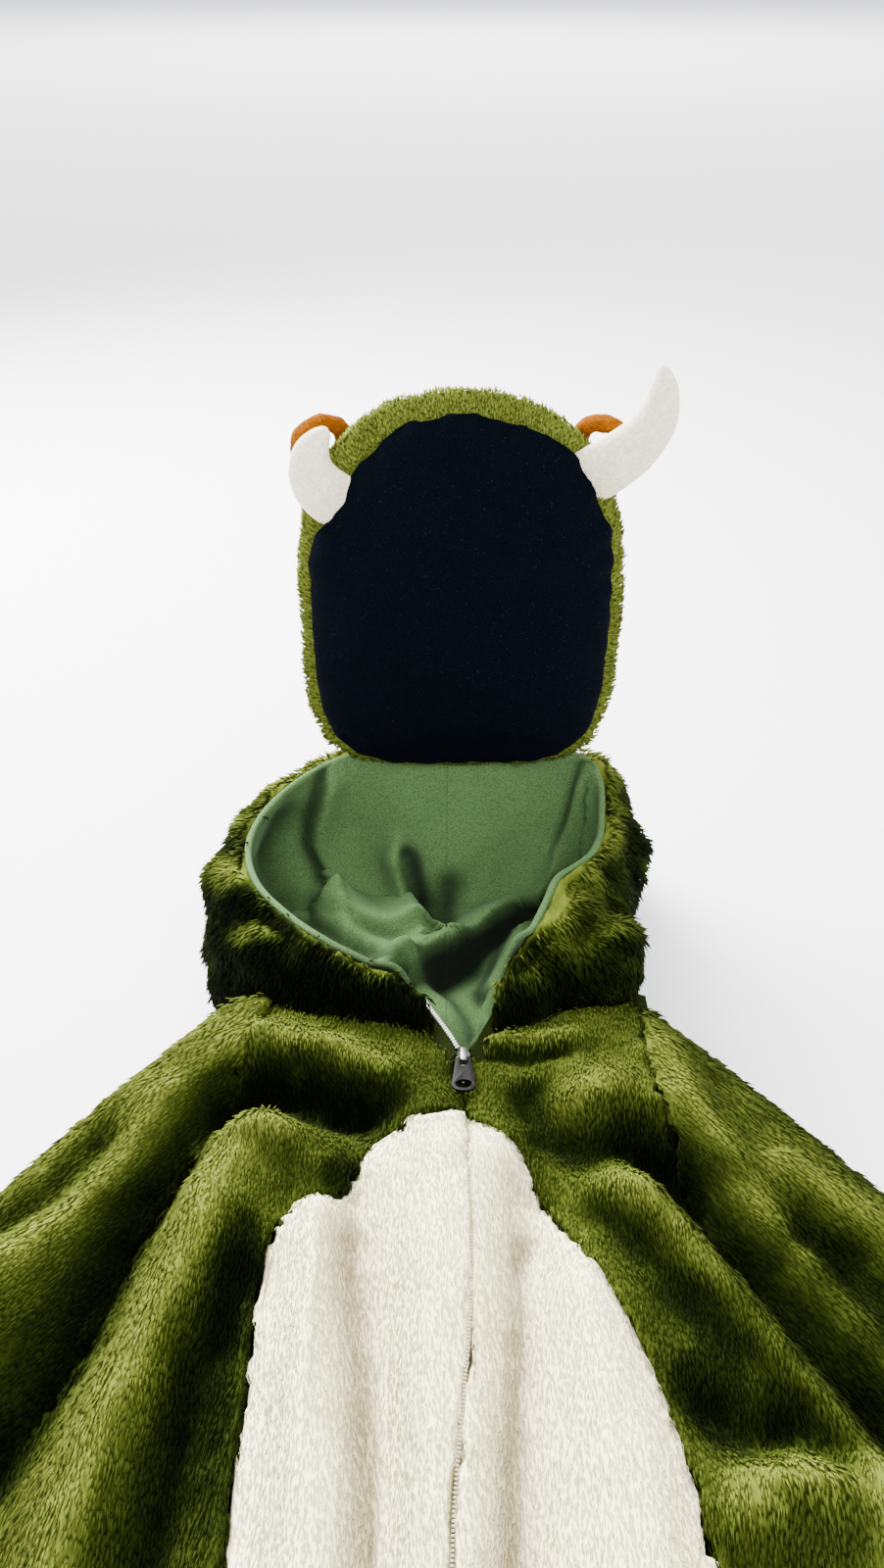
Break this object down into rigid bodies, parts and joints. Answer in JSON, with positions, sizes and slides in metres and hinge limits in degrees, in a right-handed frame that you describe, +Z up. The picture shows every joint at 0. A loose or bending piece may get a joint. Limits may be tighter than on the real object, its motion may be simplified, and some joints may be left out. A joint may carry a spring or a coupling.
{
  "type": "animal costume onesie",
  "caption": "Toddler's hooded onesie in green long-pile plush, laid flat with its hood open and a padded crocodile snout standing up behind it.",
  "frame": {"origin": "middle of the garment's footprint on the table", "axes": "+Y from the legs to the hood as laid, +Z up from the table, +X to the right as seen from the legs"},
  "size_m": [0.6738, 0.97, 0.347],
  "materials": {
    "plush": "long-pile plush",
    "cream_plush": "short-pile plush",
    "lining": "brushed jersey",
    "navy_velour": "velour",
    "white_fleece": "fleece",
    "orange_fleece": "fleece",
    "zip_coil": "moulded",
    "zip_metal": "dark nickel"
  },
  "bodies": {
    "garment": {"front_left": "plush", "front_right": "plush", "back": "plush", "belly_left": "cream_plush", "belly_right": "cream_plush", "sleeve_left": "plush", "sleeve_right": "plush", "leg_left": "plush", "leg_right": "plush", "hood_left": "plush", "hood_right": "plush", "hood_lining_left": "lining", "hood_lining_right": "lining", "snout_face": "navy_velour", "snout_back": "plush", "tooth_left": "white_fleece", "tooth_right": "white_fleece", "nostril_left": "orange_fleece", "nostril_right": "orange_fleece", "zip_chain": "zip_coil", "zip_open_left": "zip_coil", "zip_open_right": "zip_coil", "zip_slider": "zip_metal"},
    "zip_pull": {"zip_pull": "zip_metal"}
  },
  "joints": [
    {"name": "pull_swing", "type": "hinge", "parent": "garment", "child": "zip_pull", "pos_m": [0.00343, 0.22777, 0.0592], "axis": [-1, 0, 0], "range_deg": [0, 130]}
  ]
}
